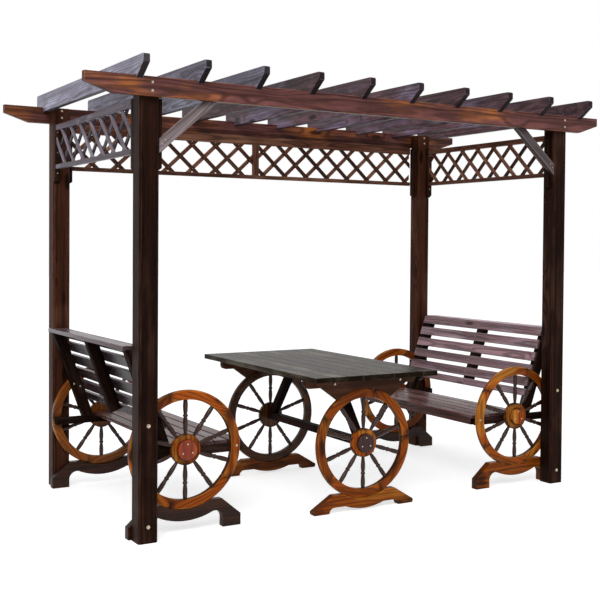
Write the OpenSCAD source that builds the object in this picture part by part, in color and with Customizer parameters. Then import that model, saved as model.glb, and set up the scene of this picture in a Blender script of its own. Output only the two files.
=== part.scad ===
// Open garden pavilion: four posts carry two beams and ten rafters, lattice panels hang under
// the roof on three sides, and two benches and a free table stand on wagon wheels.
// Millimetres. Z is up and the ground is z = 0. X runs along the beams and the front faces -Y.

/* [Posts and beams] */
// Distance over the posts' outer faces, along the beams
span_x = 2750; // [2200:10:3400]
// Distance over the posts' outer faces, from front to back
span_y = 1500; // [1260:10:1900]
// Height of the posts and of the front beam's top edge
post_h = 2245; // [1850:5:2750]
// Side of a square post
post_w = 100; // [80:1:120]
// Chamfer on the long edges of a post
post_chamfer = 9; // [2:1:15]
// Height of a beam board
beam_h = 95; // [75:1:125]
// Thickness of a beam board
beam_t = 35; // [25:1:45]
// How far the beams run past the posts' outer faces at their long ends, front left and back right
beam_overhang = 284; // [240:4:340]
// How far the front beam runs past the posts at its short end, on the right
front_short_end = 220; // [160:4:240]
// How far the back beam runs past the posts at its short end, on the left
back_short_end = 260; // [200:4:280]
// How much higher the back beam sits than the front one
back_beam_up = 12; // [0:1:20]
// Height of the plumb cut at a beam's end
beam_butt = 47; // [20:1:65]
// Length of the slanted cut under a beam's end
beam_slant = 143; // [60:1:180]

/* [Rafters] */
// Height of a rafter
rafter_h = 105; // [85:1:140]
// Thickness of a rafter
rafter_t = 34; // [25:1:45]
// How far a rafter runs past the beams' outer faces
rafter_overhang = 95; // [60:1:140]
// Depth of the notch that seats a rafter on the front beam
rafter_notch = 15; // [6:1:25]
// Height of the plumb cut at a rafter's front end
rafter_butt = 40; // [15:1:60]
// Rounding of the top corner at the front end
rafter_round = 12; // [4:1:20]
// Clipped top corner at the back end
rafter_clip = 10; // [4:1:20]
// Free space between the right posts and the last rafter
rafter_end_gap = 50; // [10:1:90]

/* [Knee braces] */
// Width of a knee brace
brace_w = 51; // [40:1:65]
// Thickness of a knee brace
brace_t = 30; // [20:1:38]
// Angle between a knee brace and the beam
brace_angle = 41; // [35:1:50]
// How far its lower corner on the post lies below the beam
brace_drop = 264; // [200:1:330]
// How far it reaches up behind the beam
brace_lap = 50; // [30:1:70]

/* [Lattice] */
// Overall height of a lattice panel
lattice_h = 258; // [200:1:320]
// Space between the front beam's underside and the level of the panels' top edges
lattice_gap = 7; // [2:1:20]
// Height of a panel's top rail
top_rail_h = 33; // [25:1:45]
// Height of a panel's bottom rail
bottom_rail_h = 25; // [20:1:40]
// Thickness of the rails
lattice_t = 26; // [20:1:30]
// Distance from the posts' outer faces in to the panels
lattice_inset = 4; // [2:1:15]
// Width of a lath
lath_w = 25; // [15:1:32]
// Thickness of a lath
lath_t = 9; // [6:1:9]
// Joint between the two layers of laths, and round the laths' ends
lath_joint = 0.3; // [0.2:0.1:1]
// Shortest piece of lath that is nailed into a panel's corner, along its lower or upper edge
lath_least = 25; // [15:1:40]
// Distance between laths, along a panel
lath_pitch = 165; // [140:1:220]
// Height of a whole diamond, from crossing to crossing
diamond_h = 152; // [120:1:180]
// Width of the upright bar in the middle of the back panel
divider_w = 40; // [25:1:60]
// Distance from that bar's middle to the first crossing on its left
left_lead = 43; // [20:1:80]
// Distance from that bar's middle to the first crossing on its right
right_lead = 138; // [60:1:160]
// How far off the panel's middle the crossings lie in the back panel's right half and in the right panel
crossing_off = 22; // [0:1:30]
// Thickness of the cleats that hold the panels on the posts
cleat_t = 25; // [15:1:35]
// Width of a cleat
cleat_w = 34; // [26:1:45]
// Length of a cleat, from the beams' underside down
cleat_l = 350; // [330:1:420]
// Bevel at the foot of a cleat
cleat_bevel = 15; // [4:1:24]

/* [Wagon wheels] */
// Diameter of a wheel
wheel_d = 600; // [500:5:720]
// Thickness of a wheel
wheel_t = 30; // [24:1:36]
// Radial width of the rim
rim_w = 49; // [38:1:60]
// Number of felloes in a rim
felloe_n = 5; // [4:1:8]
// Joint between two felloes
felloe_joint = 0.5; // [0.4:0.1:1.5]
// Chamfer on the rim's outer edges
rim_chamfer = 4; // [1:0.5:8]
// Number of turned spokes
spoke_n = 10; // [8:1:14]
// Largest diameter of a spoke
spoke_d = 25; // [20:1:28]
// Smallest diameter of a spoke
spoke_neck_d = 16; // [12:1:19]
// Diameter of the hub disc
hub_d = 158; // [130:1:190]
// Chamfer on the hub disc's edges
hub_chamfer = 2; // [1:0.5:6]
// How deep the spokes go into the hub
spoke_tenon = 4; // [3:1:20]
// Diameter of the boss on the hub
boss_d = 104; // [80:1:120]
// How far the boss stands out
boss_out = 20; // [8:1:30]
// Rounding of the boss's outer edge
boss_round = 6; // [2:1:8]
// Running clearance between a wheel and its seat
seat_clear = 0.3; // [0.2:0.1:1]

/* [Feet] */
// Thickness of the foot boards
foot_t = 45; // [35:1:55]
// Wood left under a wheel, bench foot
bench_foot_depth = 60; // [45:1:75]
// Height of the arch under a bench foot
bench_foot_arch = 90; // [78:1:100]
// Half length of the raised middle, bench foot
bench_foot_shoulder = 200; // [180:1:220]
// Height of the raised middle, bench foot
bench_foot_h = 148; // [130:1:165]
// Height of the blunt ends, bench foot
bench_foot_end = 60; // [40:1:80]
// Length of a bench foot
bench_foot_l = 610; // [560:5:680]
// Wood left under a wheel, table foot
table_foot_depth = 57; // [45:1:60]
// Height of the arch under a table foot
table_foot_arch = 30; // [20:1:40]
// Half length of the raised middle, table foot
table_foot_shoulder = 200; // [180:1:230]
// Height of the raised middle, table foot
table_foot_h = 98; // [90:1:115]
// Height of the tips, table foot
table_foot_end = 22; // [14:1:30]
// Length of a table foot
table_foot_l = 650; // [600:5:720]
// Length of the pads that stand on the ground
foot_pad = 100; // [70:1:120]

/* [Benches] */
// Distance from the posts' outer faces in to a bench wheel's centre
bench_wheel_in = 290; // [260:1:330]
// Height of a bench wheel's lowest point
bench_wheel_low = 117; // [105:1:130]
// Height of the seat
seat_h = 440; // [436:1:470]
// Height of the side rails
side_rail_h = 42; // [30:1:55]
// Thickness of the side rails
side_rail_t = 30; // [20:1:40]
// Distance from a wheel's edge in to the ends of the side rails
side_rail_in = 10; // [4:1:25]
// Least distance from the seat's front edge back to the ends of the side rails
side_rail_back = 31; // [15:1:45]
// Distance from the posts' outer faces in to the seat's rear edge
seat_rear = 235; // [220:1:260]
// Number of seat planks
plank_n = 5; // [4:1:6]
// Width of a seat plank
plank_w = 68; // [55:1:80]
// Gap between seat planks
plank_gap = 9; // [4:1:14]
// Thickness of a seat plank
plank_t = 20; // [16:1:30]
// Free space between the planks' ends and the wheels
plank_clear = 8; // [4:1:20]
// Height of the apron board under the front plank
seat_apron_h = 40; // [30:1:60]
// Thickness of that board
seat_apron_t = 20; // [15:1:30]
// How far it is set back under the front plank
seat_apron_back = 15; // [5:1:25]

/* [Backrests] */
// Lean of a backrest from upright
back_lean = 19.5; // [10:0.5:24]
// Length of a backrest along its lean, from the seat up to the top slat's top edge
back_l = 540; // [480:1:600]
// Number of slats
slat_n = 6; // [5:1:6]
// Width of a slat
slat_w = 57; // [45:1:65]
// Width of the top slat
top_slat_w = 56; // [50:1:70]
// Width of the lowest slat
low_slat_w = 44; // [35:1:60]
// Gap under the top slat
top_slat_gap = 25; // [8:1:30]
// Distance along the lean from the seat up to the lowest slat
low_slat_up = 98; // [70:1:110]
// Gap over the lowest slat
low_slat_gap = 17; // [8:1:30]
// Thickness of a slat
slat_t = 18; // [14:1:25]
// Width of an upright
upright_w = 45; // [35:1:60]
// Depth of an upright
upright_t = 62; // [50:1:80]
// Thickness of the cap board
cap_t = 22; // [16:1:30]
// How far the cap stands out behind the uprights
cap_out = 16; // [4:1:25]

/* [Table] */
// Where the table's middle stands along X
table_x = -50; // [-200:10:200]
// Where the table's middle stands along Y
table_y = -140; // [-200:2:200]
// Length of the table top, front to back
table_l = 1390; // [1200:10:1400]
// Width of the table top
table_w = 785; // [700:1:900]
// Height of the table top
table_h = 757; // [740:1:800]
// Thickness of the table top
top_t = 28; // [20:1:35]
// Number of planks in the top
top_plank_n = 8; // [6:1:10]
// Joint between planks in the top
top_plank_gap = 3; // [1:1:6]
// How far the top runs past the wheels
top_overhang = 135; // [100:1:220]
// Height of a table wheel's lowest point
table_wheel_low = 65; // [62:1:75]
// Half length of an apron, along its top edge
apron_top = 340; // [260:1:375]
// Half length of an apron, where its slanted ends meet the wheel
apron_foot = 170; // [130:1:200]
// Thickness of an apron
apron_t = 26; // [20:1:30]
// How far an apron's tips reach down past the point where its slanted ends meet the wheel
apron_tip = 5; // [2:1:12]
// Height of the battens inside the aprons
batten_h = 50; // [35:1:60]
// Thickness of the battens
batten_t = 40; // [25:1:50]
// How far the top's edge runs past a batten's end
batten_back = 32; // [20:1:60]
// Height of the stretcher between the hubs
stretcher_h = 42; // [36:1:60]
// Width of the stretcher
stretcher_w = 45; // [35:1:60]
// Angle between a table brace and the ground
table_brace_angle = 52; // [48:1:60]
// Depth of a table brace
table_brace_d = 50; // [35:1:60]
// Width of a table brace
table_brace_w = 40; // [30:1:45]

/* [Hidden] */
sides = ["left", "right"];
ends = ["front", "back"];
bench_parts = ["feet", "front_felloes", "front_spokes", "back_felloes", "back_spokes",
    "seat_frame", "seat", "uprights", "backrest"];
table_parts = ["feet", "front_felloes", "front_spokes", "back_felloes", "back_spokes",
    "stretcher", "braces", "aprons", "top"];
rafter_n = 10;

fine = 96;
post_dark = "#33201b";
beam_brown = "#6b3a2a";
rafter_brown = "#5a4238";
lattice_brown = "#4a2a20";
brace_brown = "#7a6660";
wheel_amber = "#a85a1e";
felloe_amber = "#b5651d";
seat_plum = "#5a4248";
table_grey = "#4a4640";

beam_low = post_h - beam_h;
beam_face = span_y / 2 + beam_t;
back_notch = rafter_notch + back_beam_up;
rafter_low = post_h - rafter_notch;
rafter_first = -span_x / 2 - rafter_t / 2;
rafter_last = span_x / 2 + rafter_end_gap + rafter_t / 2;
rafter_pitch = (rafter_last - rafter_first) / (rafter_n - 1);
lattice_top = beam_low - lattice_gap;
lattice_mid = lattice_top - top_rail_h - (lattice_h - top_rail_h - bottom_rail_h) / 2;
lath_high = lattice_h - top_rail_h - bottom_rail_h - 2 * lath_joint;
bench_wheel_z = bench_wheel_low + wheel_d / 2;
table_wheel_z = table_wheel_low + wheel_d / 2;
rim_in = wheel_d / 2 - rim_w;
bench_y = span_y / 2 - post_w;
bench_in_y = bench_y - wheel_t;
seat_front = seat_rear + plank_n * plank_w + (plank_n - 1) * plank_gap;
rail_top = seat_h - plank_t;
slat_half = bench_in_y - plank_clear;
slat_run = back_l - top_slat_w - top_slat_gap - low_slat_up - low_slat_w - low_slat_gap;
slat_pitch = (slat_run - slat_w) / (slat_n - 3);
cap_top = seat_h + back_l * cos(back_lean);
cap_low = cap_top - cap_t;
bead_at = 0.54;
bead_half = 0.03;
bench_joint_angle = 36;
table_joint_angle = 4;
bench_foot_nose = 2;
table_foot_nose = 8;
brace_foot_in = 2;
top_low = table_h - top_t;
table_wheel_y = table_l / 2 - top_overhang - wheel_t / 2;
table_in_y = table_wheel_y - wheel_t / 2;

// ---- placing helpers ----

// The left half's geometry as drawn, or its mirror image on the right
module on_side(s) {
    if (s == "left") children();
    else mirror([1, 0, 0]) children();
}

// The front half's geometry as drawn, or its mirror image at the back
module at_end(e) {
    if (e == "front") children();
    else mirror([0, 1, 0]) children();
}

// Both ends at once
module both_ends() {
    for (e = ends) at_end(e) children();
}

// Frame of the left bench: x counts from the left posts' outer faces inward
module bench_frame(s) {
    on_side(s) translate([-span_x / 2, 0, 0]) children();
}

// Frame of the table, with its middle at the origin
module table_frame() {
    translate([table_x, table_y, 0]) children();
}

// A profile drawn in x and z, extruded along y from y0 by the thickness
module board_xz(y0, thickness) {
    translate([0, y0 + thickness, 0]) rotate([90, 0, 0]) linear_extrude(thickness) children();
}

// A profile drawn in y and z, extruded along x from x0 by the thickness
module board_yz(x0, thickness) {
    translate([x0, 0, 0]) rotate([90, 0, 90]) linear_extrude(thickness) children();
}

// ---- posts, beams and rafters ----

module chamfered_square(w, c) {
    polygon([[c, 0], [w - c, 0], [w, c], [w, w - c], [w - c, w], [c, w], [0, w - c], [0, c]]);
}

module post(e, s) {
    color(post_dark)
        on_side(s) at_end(e)
            translate([-span_x / 2, -span_y / 2, 0])
                linear_extrude(post_h) chamfered_square(post_w, post_chamfer);
}

module beam(e) {
    from = -span_x / 2 - (e == "front" ? beam_overhang : back_short_end);
    to = span_x / 2 + (e == "front" ? front_short_end : beam_overhang);
    up = e == "front" ? 0 : back_beam_up;
    color(beam_brown)
        translate([0, 0, up]) at_end(e) board_xz(-beam_face, beam_t)
            polygon([[from, post_h], [from, post_h - beam_butt], [from + beam_slant, beam_low],
                [to - beam_slant, beam_low], [to, post_h - beam_butt], [to, post_h]]);
}

module rafter_profile() {
    tip = beam_face + rafter_overhang;
    top = rafter_low + rafter_h;
    difference() {
        polygon([[-beam_face, rafter_low], [-tip, top - rafter_butt], [-tip, top],
            [tip - rafter_clip, top], [tip, top - rafter_clip], [tip, rafter_low]]);
        translate([-tip, top]) difference() {
            translate([-1, -rafter_round]) square(rafter_round + 1);
            translate([rafter_round, -rafter_round]) circle(rafter_round, $fn = fine);
        }
        translate([-beam_face, rafter_low - 1]) square([beam_t, rafter_notch + 1]);
        translate([beam_face - beam_t, rafter_low - 1]) square([beam_t, back_notch + 1]);
    }
}

module rafter(i) {
    color(rafter_brown)
        board_yz(rafter_first + (i - 1) * rafter_pitch - rafter_t / 2, rafter_t) rafter_profile();
}

module brace(s) {
    rise = tan(brace_angle);
    edge = brace_w / cos(brace_angle);
    foot = beam_low - brace_drop;
    head = beam_low + brace_lap;
    post_x = -span_x / 2 + post_w;
    color(brace_brown)
        on_side(s) board_xz(-span_y / 2, brace_t)
            polygon([[post_x, foot], [post_x + (head - foot) / rise, head],
                [post_x + (head - foot - edge) / rise, head], [post_x, foot + edge]]);
}

// ---- lattice ----

// Laths of one direction, through a row of crossings that lies off the panel's middle line
module laths(from, to, first, off, lean) {
    slope = atan2(diamond_h, lath_pitch);
    reach = lath_high / 2 / tan(slope) + lath_w / 2 / sin(slope) - lath_least;
    shift = lean * off / tan(slope);
    low = ceil((from - reach + shift - first) / lath_pitch);
    high = floor((to + reach + shift - first) / lath_pitch);
    for (i = [low:high]) intersection() {
        translate([first + i * lath_pitch, lattice_mid + off])
            rotate(lean * slope) square([3 * lattice_h, lath_w], center = true);
        translate([from + lath_joint, lattice_mid - lath_high / 2])
            square([to - from - 2 * lath_joint, lath_high]);
    }
}

// The laths that lean one way, in front of those that lean the other way
module lath_layers(from, to, first, off, lean) {
    translate([0, 0, (lattice_t + lath_joint) / 2])
        linear_extrude(lath_t) laths(from, to, first, off, lean);
    translate([0, 0, (lattice_t - lath_joint) / 2 - lath_t])
        linear_extrude(lath_t) laths(from, to, first, off, -lean);
}

module panel_rails(half) {
    linear_extrude(lattice_t) {
        translate([-half, lattice_top - top_rail_h]) square([2 * half, top_rail_h]);
        translate([-half, lattice_top - lattice_h]) square([2 * half, bottom_rail_h]);
    }
}

module lattice_side(s) {
    half = span_y / 2 - post_w - cleat_t;
    color(lattice_brown)
        on_side(s) translate([lattice_inset - span_x / 2, 0, 0]) rotate([90, 0, 90]) {
            panel_rails(half);
            if (s == "left") lath_layers(-half, half, lath_pitch / 2, 0, -1);
            else lath_layers(-half, half, 0, crossing_off, 1);
        }
}

module lattice_back() {
    half = span_x / 2 - post_w - cleat_t;
    color(lattice_brown)
        translate([0, span_y / 2 - lattice_inset, 0]) rotate([90, 0, 0]) {
            panel_rails(half);
            lath_layers(-half, -divider_w / 2, -left_lead, 0, -1);
            lath_layers(divider_w / 2, half, right_lead, -crossing_off, -1);
            translate([-divider_w / 2, lattice_mid - lath_high / 2, 0])
                cube([divider_w, lath_high, lattice_t]);
        }
}

// A cleat's side view: its back on the post, its foot bevelled away from the post
module cleat_profile() {
    polygon([[0, beam_low], [0, beam_low - cleat_l], [cleat_t, beam_low - cleat_l + cleat_bevel],
        [cleat_t, beam_low]]);
}

module lattice_cleats() {
    mid_in = lattice_inset + lattice_t / 2 - cleat_w / 2;
    post_in = span_x / 2 - post_w;
    color(lattice_brown)
        for (s = sides) on_side(s) {
            both_ends()
                translate([max(mid_in, 0) - span_x / 2, -bench_y, 0])
                    board_yz(0, cleat_w) cleat_profile();
            both_ends()
                translate([-post_in, max(mid_in, brace_t) - span_y / 2, 0])
                    board_xz(0, cleat_w) cleat_profile();
        }
}

// ---- wagon wheels, drawn flat: the axle is z, the outer face looks up ----

module rim_ring() {
    r = wheel_d / 2;
    h = wheel_t / 2;
    c = rim_chamfer;
    rotate_extrude($fn = fine)
        polygon([[rim_in, -h], [r - c, -h], [r, c - h], [r, h - c], [r - c, h], [rim_in, h]]);
}

module felloes(joint_angle) {
    step = 360 / felloe_n;
    shift = felloe_joint / 2 / sin(step / 2);
    for (k = [0:felloe_n - 1]) rotate(joint_angle + k * step) intersection() {
        rim_ring();
        translate([shift * cos(step / 2), shift * sin(step / 2), -wheel_t])
            linear_extrude(2 * wheel_t)
                polygon([[0, 0], [wheel_d, 0], [wheel_d * cos(step), wheel_d * sin(step)]]);
    }
}

// Radius of a spoke at the share t of its length: two turned swellings with a bead between them
function spoke_r(t) =
    t < bead_at
        ? spoke_neck_d / 2 + (spoke_d - spoke_neck_d) / 2 * sin(180 * pow(t / bead_at, 1.3))
        : spoke_neck_d / 2 + (spoke_d - spoke_neck_d) / 2 * sin(150 * (t - bead_at) / (1 - bead_at));

module spoke() {
    from = hub_d / 2 - spoke_tenon;
    length = rim_in - seat_clear - from;
    bead = spoke_d / 2 - 1;
    rotate([0, 90, 0]) translate([0, 0, from]) rotate_extrude($fn = 32)
        polygon(concat(
            [[0, 0]],
            [for (k = [0:8]) let (t = k / 8 * (bead_at - bead_half)) [spoke_r(t), t * length]],
            [for (a = [-60, 0, 60]) [bead * (0.88 + 0.12 * cos(1.5 * a)),
                (bead_at + bead_half * a / 90) * length]],
            [for (k = [0:7]) let (t = 1 - (7 - k) / 7 * (1 - bead_at - bead_half))
                [spoke_r(t), t * length]],
            [[0, length]]));
}

module hub() {
    h = wheel_t / 2;
    rotate_extrude($fn = fine) {
        polygon([[0, -h], [hub_d / 2 - hub_chamfer, -h], [hub_d / 2, hub_chamfer - h],
            [hub_d / 2, h - hub_chamfer], [hub_d / 2 - hub_chamfer, h], [boss_d / 2, h],
            [boss_d / 2, h + boss_out - boss_round], [boss_d / 2 - boss_round, h + boss_out],
            [0, h + boss_out]]);
        translate([boss_d / 2 - boss_round, h + boss_out - boss_round])
            intersection() {
                circle(boss_round, $fn = fine);
                square(boss_round);
            }
    }
}

module hub_and_spokes() {
    hub();
    for (k = [0:spoke_n - 1]) rotate(90 + k * 360 / spoke_n) spoke();
}

// Stands a wheel up with its outer face to the front
module stand_wheel(x, y_face, z) {
    translate([x, y_face + wheel_t / 2, z]) rotate([90, 0, 0]) children();
}

// ---- foot boards ----

// Outline of a foot: two pads, an arch with a bulge round the wheel, and the wheel's seat on top
module foot_profile(length, shoulder, h, end_h, nose, arch, arch_r, depth, wheel_z) {
    inner = length / 2 - foot_pad;
    difference() {
        polygon([[nose - length / 2, 0], [-length / 2, nose], [-length / 2, end_h], [-shoulder, h],
            [shoulder, h], [length / 2, end_h], [length / 2, nose], [length / 2 - nose, 0]]);
        translate([0, wheel_z]) circle(wheel_d / 2 + seat_clear, $fn = fine);
        difference() {
            union() {
                translate([-inner, -1]) square([2 * inner, arch - arch_r + 1]);
                translate([arch_r - inner, -1]) square([2 * (inner - arch_r), arch + 1]);
                for (x = [arch_r - inner, inner - arch_r])
                    translate([x, arch - arch_r]) circle(arch_r, $fn = fine);
            }
            translate([0, wheel_z]) circle(wheel_d / 2 + depth, $fn = fine);
        }
    }
}

// ---- benches ----

module bench_feet(s) {
    color(wheel_amber)
        bench_frame(s) both_ends() translate([bench_wheel_in, 0, 0]) board_xz(-bench_y, foot_t)
            foot_profile(bench_foot_l, bench_foot_shoulder, bench_foot_h, bench_foot_end,
                bench_foot_nose, bench_foot_arch, bench_foot_arch / 2, bench_foot_depth,
                bench_wheel_z);
}

module bench_felloes(s, e) {
    color(felloe_amber)
        bench_frame(s) at_end(e) stand_wheel(bench_wheel_in, -bench_y, bench_wheel_z) felloes(bench_joint_angle);
}

module bench_spokes(s, e) {
    color(wheel_amber)
        bench_frame(s) at_end(e)
            stand_wheel(bench_wheel_in, -bench_y, bench_wheel_z) hub_and_spokes();
}

// Side rails from rim to rim, and the apron board between them
module bench_seat_frame(s) {
    reach = wheel_d / 2 - side_rail_in;
    rail_from = bench_wheel_in - reach;
    rail_to = max(bench_wheel_in + reach, seat_front - side_rail_back);
    rail_in = bench_in_y - side_rail_t;
    color(seat_plum)
        bench_frame(s) {
            both_ends()
                translate([rail_from, -bench_in_y, rail_top - side_rail_h])
                    cube([rail_to - rail_from, side_rail_t, side_rail_h]);
            translate([seat_front - seat_apron_back - seat_apron_t, -rail_in + seat_clear,
                rail_top - seat_apron_h])
                cube([seat_apron_t, 2 * (rail_in - seat_clear), seat_apron_h]);
        }
}

module bench_seat(s) {
    color(seat_plum)
        bench_frame(s) for (i = [0:plank_n - 1])
            translate([seat_rear + i * (plank_w + plank_gap), -slat_half, rail_top])
                cube([plank_w, 2 * slat_half, plank_t]);
}

// How far up the lean the top edge of a slat lies, counted down from the top slat
function slat_up(i) =
    i == 0 ? back_l
        : i == slat_n - 1 ? low_slat_up + low_slat_w
        : back_l - top_slat_w - top_slat_gap - (i - 1) * slat_pitch;
function slat_width(i) = i == 0 ? top_slat_w : i == slat_n - 1 ? low_slat_w : slat_w;

// A point of the backrest's side view: up along the lean from the seat, and back from its face
function back_at(up, back) = [
    seat_rear - up * sin(back_lean) - back * cos(back_lean),
    seat_h + up * cos(back_lean) - back * sin(back_lean)];
// How far up the lean a level cut at height z meets the line that lies this far back
function back_up(z, back) = (z - seat_h + back * sin(back_lean)) / cos(back_lean);

module upright(y0, foot_up_front, foot_up_rear) {
    rear = slat_t + upright_t;
    board_xz(y0, upright_w)
        polygon([back_at(foot_up_front, slat_t), back_at(foot_up_rear, rear),
            back_at(back_up(cap_low, rear), rear), back_at(back_up(cap_low, slat_t), slat_t)]);
}

module bench_uprights(s) {
    rear = slat_t + upright_t;
    low_slat = low_slat_up + low_slat_w / 2;
    color(seat_plum)
        bench_frame(s) {
            both_ends() upright(-bench_in_y, back_up(rail_top, slat_t), back_up(rail_top, rear));
            upright(-upright_w / 2, low_slat, low_slat);
        }
}

module slat(up, width) {
    board_xz(-slat_half, 2 * slat_half)
        polygon([back_at(up, 0), back_at(up - width, 0), back_at(up - width, slat_t),
            back_at(up, slat_t)]);
}

// Lies level on the uprights, with its front edge against the top slat
module cap() {
    rear = slat_t + upright_t;
    rear_x = back_at(back_up(cap_low, rear), rear)[0] - cap_out;
    board_xz(-bench_in_y, 2 * bench_in_y)
        polygon([[rear_x, cap_low], back_at(back_up(cap_low, slat_t), slat_t),
            back_at(back_up(cap_top, slat_t), slat_t), [rear_x, cap_top]]);
}

module bench_backrest(s) {
    color(seat_plum)
        bench_frame(s) {
            for (i = [0:slat_n - 1]) slat(slat_up(i), slat_width(i));
            cap();
        }
}

// ---- table ----

module table_feet() {
    color(wheel_amber)
        table_frame() both_ends() board_xz(-table_wheel_y - foot_t / 2, foot_t)
            foot_profile(table_foot_l, table_foot_shoulder, table_foot_h, table_foot_end,
                table_foot_nose, table_foot_arch, table_foot_arch, table_foot_depth,
                table_wheel_z);
}

module table_felloes(e) {
    color(felloe_amber)
        table_frame() at_end(e)
            stand_wheel(0, -table_wheel_y - wheel_t / 2, table_wheel_z) felloes(table_joint_angle);
}

module table_spokes(e) {
    color(wheel_amber)
        table_frame() at_end(e)
            stand_wheel(0, -table_wheel_y - wheel_t / 2, table_wheel_z) hub_and_spokes();
}

module table_stretcher() {
    color(table_grey)
        table_frame() translate([-stretcher_w / 2, -table_in_y, table_wheel_z - stretcher_h / 2])
            cube([stretcher_w, 2 * table_in_y, stretcher_h]);
}

// Leaning from the stretcher beside each hub up to the underside of the top
module table_braces() {
    low = table_wheel_z + stretcher_h / 2;
    run = (top_low - low) / tan(table_brace_angle);
    edge = table_brace_d / sin(table_brace_angle);
    foot = table_in_y - brace_foot_in;
    color(table_grey)
        table_frame() both_ends() board_yz(-table_brace_w / 2, table_brace_w)
            polygon([[-foot, low], [run - foot, top_low], [run + edge - foot, top_low],
                [edge - foot, low]]);
}

// Boards seated on the wheels, and the battens that carry the planks behind them
module table_aprons() {
    half = table_w / 2 - batten_back;
    nose = batten_h / 2;
    apron_low = table_wheel_z + sqrt(pow(wheel_d / 2, 2) - pow(apron_foot, 2));
    color(table_grey)
        table_frame() both_ends() {
            board_xz(-table_wheel_y - apron_t / 2, apron_t) difference() {
                polygon([[-apron_top, top_low], [-apron_foot, apron_low - apron_tip],
                    [apron_foot, apron_low - apron_tip], [apron_top, top_low]]);
                translate([0, table_wheel_z]) circle(wheel_d / 2 + seat_clear, $fn = fine);
            }
            board_xz(apron_t / 2 - table_wheel_y, batten_t) {
                translate([-half, top_low - nose]) square([2 * half, nose]);
                translate([nose - half, top_low - batten_h])
                    square([2 * (half - nose), batten_h]);
                for (x = [nose - half, half - nose])
                    translate([x, top_low - nose]) circle(nose, $fn = fine);
            }
        }
}

module table_top() {
    plank = (table_w - (top_plank_n - 1) * top_plank_gap) / top_plank_n;
    color(table_grey)
        table_frame() for (i = [0:top_plank_n - 1])
            translate([i * (plank + top_plank_gap) - table_w / 2, -table_l / 2, top_low])
                cube([plank, table_l, top_t]);
}

// ---- nodes ----

for (e = ends, s = sides) post(e, s);
for (e = ends) beam(e);
for (i = [1:rafter_n]) rafter(i);
for (s = sides) brace(s);
for (s = sides) lattice_side(s);
lattice_back();
lattice_cleats();
for (s = sides) bench_feet(s);
for (s = sides, e = ends)
    bench_felloes(s, e);
for (s = sides, e = ends)
    bench_spokes(s, e);
for (s = sides) bench_seat_frame(s);
for (s = sides) bench_seat(s);
for (s = sides) bench_uprights(s);
for (s = sides) bench_backrest(s);
table_feet();
for (e = ends) table_felloes(e);
for (e = ends) table_spokes(e);
table_stretcher();
table_braces();
table_aprons();
table_top();
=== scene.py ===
# Open timber pavilion: scorched and varnished pine, two benches and a table on wagon wheels.
# The script follows the order in which it is put together, from the posts up and then inside.
import math
import random

import bmesh
import bpy
import numpy as np
from mathutils import Matrix, Vector


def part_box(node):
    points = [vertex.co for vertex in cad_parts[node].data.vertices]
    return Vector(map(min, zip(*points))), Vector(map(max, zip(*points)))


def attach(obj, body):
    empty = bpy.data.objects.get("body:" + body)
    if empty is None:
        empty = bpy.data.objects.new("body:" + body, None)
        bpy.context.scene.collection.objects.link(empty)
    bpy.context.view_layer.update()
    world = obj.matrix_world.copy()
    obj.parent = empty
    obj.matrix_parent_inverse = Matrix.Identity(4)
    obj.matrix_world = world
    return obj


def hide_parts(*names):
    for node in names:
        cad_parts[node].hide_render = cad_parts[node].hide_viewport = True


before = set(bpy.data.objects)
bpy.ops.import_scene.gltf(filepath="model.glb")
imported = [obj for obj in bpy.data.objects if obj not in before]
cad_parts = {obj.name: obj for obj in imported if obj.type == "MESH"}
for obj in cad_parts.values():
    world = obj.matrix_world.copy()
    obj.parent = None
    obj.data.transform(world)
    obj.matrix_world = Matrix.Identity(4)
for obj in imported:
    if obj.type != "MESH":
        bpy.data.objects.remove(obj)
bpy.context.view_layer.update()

# ---- Posts ----
# Four square pine posts with chamfered edges, scorched with a torch, brushed along the grain and
# varnished, the back pair redder. They carry everything but the table.


def linear(colour):
    """A colour such as #6b3a2a as the linear values that a shader socket takes."""
    parts = [int(colour[i : i + 2], 16) / 255 for i in (1, 3, 5)]
    return [p / 12.92 if p < 0.04045 else ((p + 0.055) / 1.055) ** 2.4 for p in parts] + [1]


def add(tree, kind, sockets=None, **settings):
    """Adds one node with its settings. A socket gets a value, or a link from another node's output."""
    made = tree.nodes.new(kind)
    for name, value in settings.items():
        setattr(made, name, value)
    for name, value in (sockets or {}).items():
        if isinstance(value, bpy.types.NodeSocket):
            tree.links.new(value, made.inputs[name])
        else:
            made.inputs[name].default_value = value
    return made


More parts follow.
